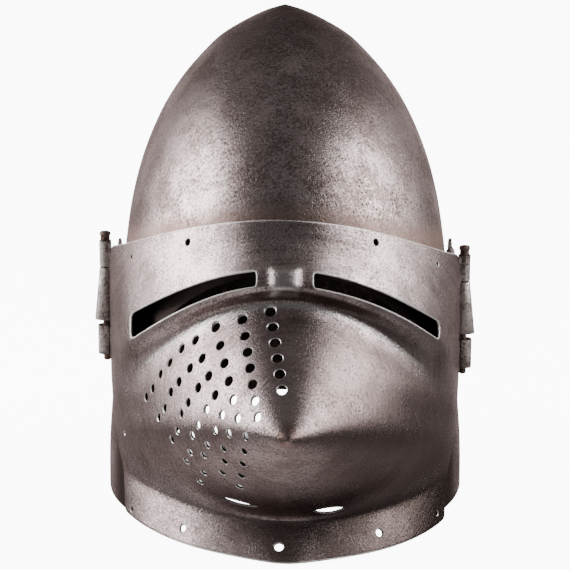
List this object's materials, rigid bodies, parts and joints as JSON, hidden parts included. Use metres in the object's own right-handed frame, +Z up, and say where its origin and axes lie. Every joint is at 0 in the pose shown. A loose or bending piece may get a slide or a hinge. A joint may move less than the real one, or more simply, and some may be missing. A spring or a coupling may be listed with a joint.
{
  "type": "hounskull bascinet",
  "caption": "Pointed steel bascinet skull with a snouted, pierced hounskull visor that lifts on temple pivots, its side hinges closed by drawn pins.",
  "frame": {"origin": "centre of the bounding box, on the plane of the skull's lower rim", "axes": "+Z up through the crown, -Y the way the face looks, +X the wearer's left"},
  "size_m": [0.2502, 0.3492, 0.317],
  "materials": {
    "dark_steel": "dark, patinated and lightly pitted, brushed",
    "hinge_steel": "brown, rust-stained"
  },
  "bodies": {
    "helmet": {"skull": "dark_steel", "pivot_rivet_left": "hinge_steel", "pivot_rivet_right": "hinge_steel"},
    "visor": {"visor": "dark_steel", "pivot_arm_left": "hinge_steel", "pivot_arm_right": "hinge_steel"},
    "pin_left": {"hinge_pin_left": "hinge_steel"},
    "pin_right": {"hinge_pin_right": "hinge_steel"}
  },
  "joints": [
    {"name": "visor_lift", "type": "hinge", "parent": "helmet", "child": "visor", "pos_m": [0, 0.06275, 0.153], "axis": [-1, 0, 0], "range_deg": [0, 65]},
    {"name": "pin_draw_left", "type": "slide", "parent": "visor", "child": "pin_left", "axis": [0, 0, 1], "range_m": [0, 0.085]},
    {"name": "pin_draw_right", "type": "slide", "parent": "visor", "child": "pin_right", "axis": [0, 0, 1], "range_m": [0, 0.085]}
  ]
}
